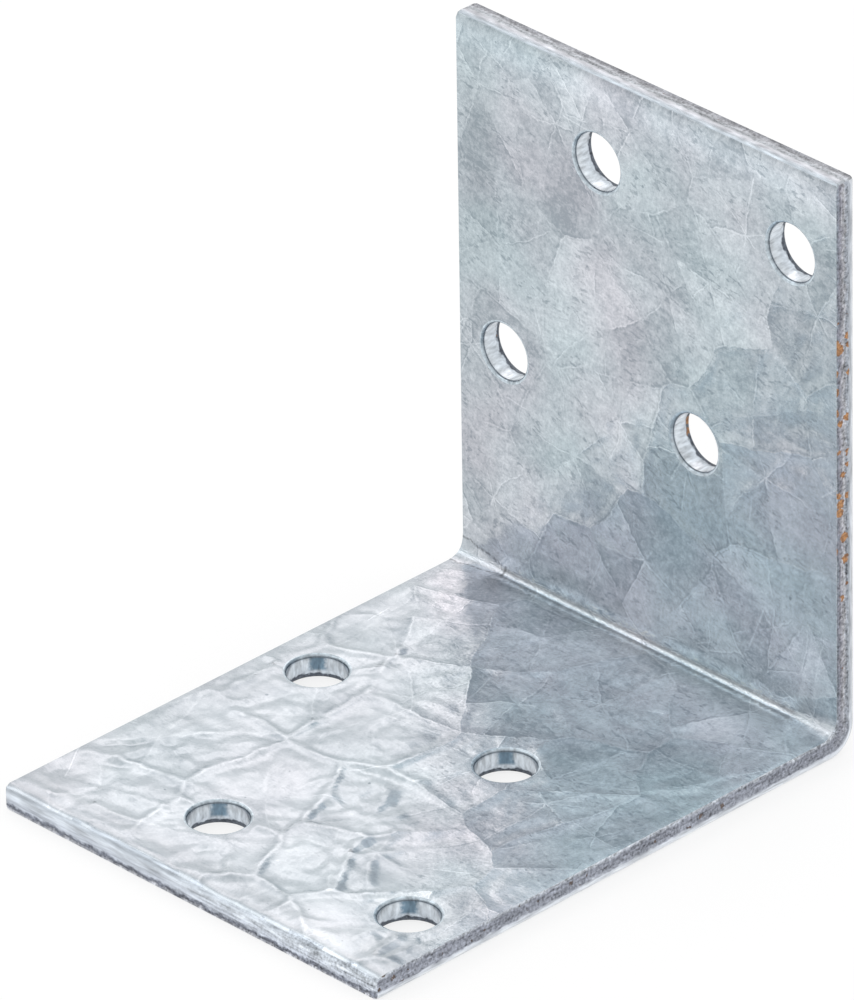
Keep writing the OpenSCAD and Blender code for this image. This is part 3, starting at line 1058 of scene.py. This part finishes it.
tree.links.new(wall.outputs[2], shader.inputs["Base Color"])

# %% Give each surface its finish
centres, normals = faces_of(bracket, "center"), faces_of(bracket, "normal")
across, along, depth = strip_places(centres).T
on_upright = along > FOLD_ARC / 2
from_fold = np.where(on_upright, along - FOLD_ARC, -along)
finish = np.zeros(len(centres), int)
finish[np.abs(normals[:, 0]) > 0.6] = 1
finish[(centres[:, 1] < low.y + 1) & (normals[:, 1] < -0.6)] = 2
finish[(centres[:, 2] > high.z - 1) & (normals[:, 2] > 0.6)] = 3
finish[np.hypot(*to_hole(across, from_fold, on_upright).T) < hole_rings[0][0]] = 4

bracket.data.materials.clear()
for material in (galvanised_steel(), slit_side, base_tip, upright_tip, punched_hole):
    bracket.data.materials.append(material)
bracket.data.polygons.foreach_set("material_index", finish)
print("faces of zinc, slit, cropped and punched finish:", np.bincount(finish))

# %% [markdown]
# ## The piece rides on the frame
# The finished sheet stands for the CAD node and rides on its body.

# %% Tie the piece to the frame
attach(bracket, "root")
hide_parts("bracket")

# %% [markdown]
# ## Studio
# The photograph was taken on white, in soft light. White light comes from all around at a
# strength of 1, and two large soft boxes stand at the left, a warm one behind and one in
# front, whose edges bring out the relief. The floor is white paper. To the camera it glows a
# little by itself, so that the open floor is white and the bracket's shadow stays pale.

# %% Floor, world and soft boxes
FLOOR_SIZE = 6
FLOOR_GLOW = 0.74
BOX_DISTANCE = 3
bpy.ops.object.select_all(action="DESELECT")
bpy.ops.mesh.primitive_plane_add(size=FLOOR_SIZE, location=(0, 0, 0))
floor = bpy.context.object
floor.name = "floor"
paper = bpy.data.materials.new("white background paper")
paper.use_nodes = True
tree = paper.node_tree
shader = tree.nodes["Principled BSDF"]
path = add(tree, "LightPath").outputs
mirrored = add(tree, "Math", path["Is Glossy Ray"], path["Is Transmission Ray"], operation="MAXIMUM")
seen = add(tree, "Math", mirrored, path["Is Camera Ray"], operation="MAXIMUM")
shade = add(tree, "Mix", seen, linear("#EEEEEE"), linear("#8A8A8A"), data_type="RGBA")
glow = add(tree, "Math", seen, FLOOR_GLOW, operation="MULTIPLY")
tree.links.new(shade.outputs[2], shader.inputs["Base Color"])
tree.links.new(glow.outputs[0], shader.inputs["Emission Strength"])
shader.inputs["Emission Color"].default_value = (1, 1, 1, 1)
shader.inputs["Roughness"].default_value = 0.9
shader.inputs["Specular IOR Level"].default_value = 0.0
floor.data.materials.append(paper)

world = bpy.data.worlds.new("white studio")
bpy.context.scene.world = world
world.use_nodes = True
sky = world.node_tree.nodes["Background"]
sky.inputs["Color"].default_value = (1, 1, 1, 1)
sky.inputs["Strength"].default_value = 1.0


def soft_box(name, azimuth, elevation, width, height, radiance, colour):
    """A soft box 3 m away that faces the bracket. A radiance of 1 looks as bright as white paper.
    Azimuth 0 is in front of the flat leg, and 90 is at its right."""
    turn, rise = math.radians(azimuth), math.radians(elevation)
    place = Vector((math.sin(turn) * math.cos(rise), -math.cos(turn) * math.cos(rise), math.sin(rise)))
    place *= BOX_DISTANCE
    light = bpy.data.lights.new(name, "AREA")
    light.shape = "RECTANGLE"
    light.size, light.size_y = width, height
    light.energy = radiance * math.pi * width * height
    light.color = linear(colour)[:3]
    holder = bpy.data.objects.new(name, light)
    bpy.context.collection.objects.link(holder)
    holder.matrix_world = Matrix.Translation(place) @ place.to_track_quat("Z", "Y").to_matrix().to_4x4()


soft_box("soft box behind at the left", 225, 42, 2.5, 1.25, 0.66, "#FFF0EC")
soft_box("soft box in front at the left", 315, 50, 2.5, 1.25, 0.8, "#FFFFFF")

# %% [markdown]
# ## Camera
# The camera was found by fitting the bracket's edges and holes to the photograph. It stands
# far off with a long lens, so the bracket's parallel edges stay almost parallel.

# %% Camera
IMAGE_H = 1000
AZIMUTH, ELEVATION, ROLL = (math.radians(angle) for angle in (45.681, 29.796, -0.872))
DISTANCE, ASIDE, UPWARD = 1201.29, -18.050, 11.764
FOCAL_PIXELS = 15959.7
SENSOR = 36

flat_out = math.cos(ELEVATION)
back = Vector((math.sin(AZIMUTH) * flat_out, -math.cos(AZIMUTH) * flat_out, math.sin(ELEVATION)))
level = Vector((0, 0, 1)).cross(back).normalized()
upright_axis = back.cross(level)
right = math.cos(ROLL) * level + math.sin(ROLL) * upright_axis
up = math.cos(ROLL) * upright_axis - math.sin(ROLL) * level
eye = Vector((0, heel_y, 0)) + back * DISTANCE + right * ASIDE + up * UPWARD
camera = bpy.data.objects.new("camera", bpy.data.cameras.new("camera"))
bpy.context.collection.objects.link(camera)
bpy.context.scene.camera = camera
camera.matrix_world = Matrix.Translation(eye * MM) @ Matrix((right, up, back)).transposed().to_4x4()
camera.data.sensor_width = SENSOR
camera.data.lens = FOCAL_PIXELS * SENSOR / IMAGE_H
camera.data.clip_start = 0.1
camera.data.clip_end = 20
bpy.context.scene.view_settings.view_transform = "Standard"
print(f"lens {camera.data.lens:.1f} mm at {DISTANCE / 1000:.2f} m")
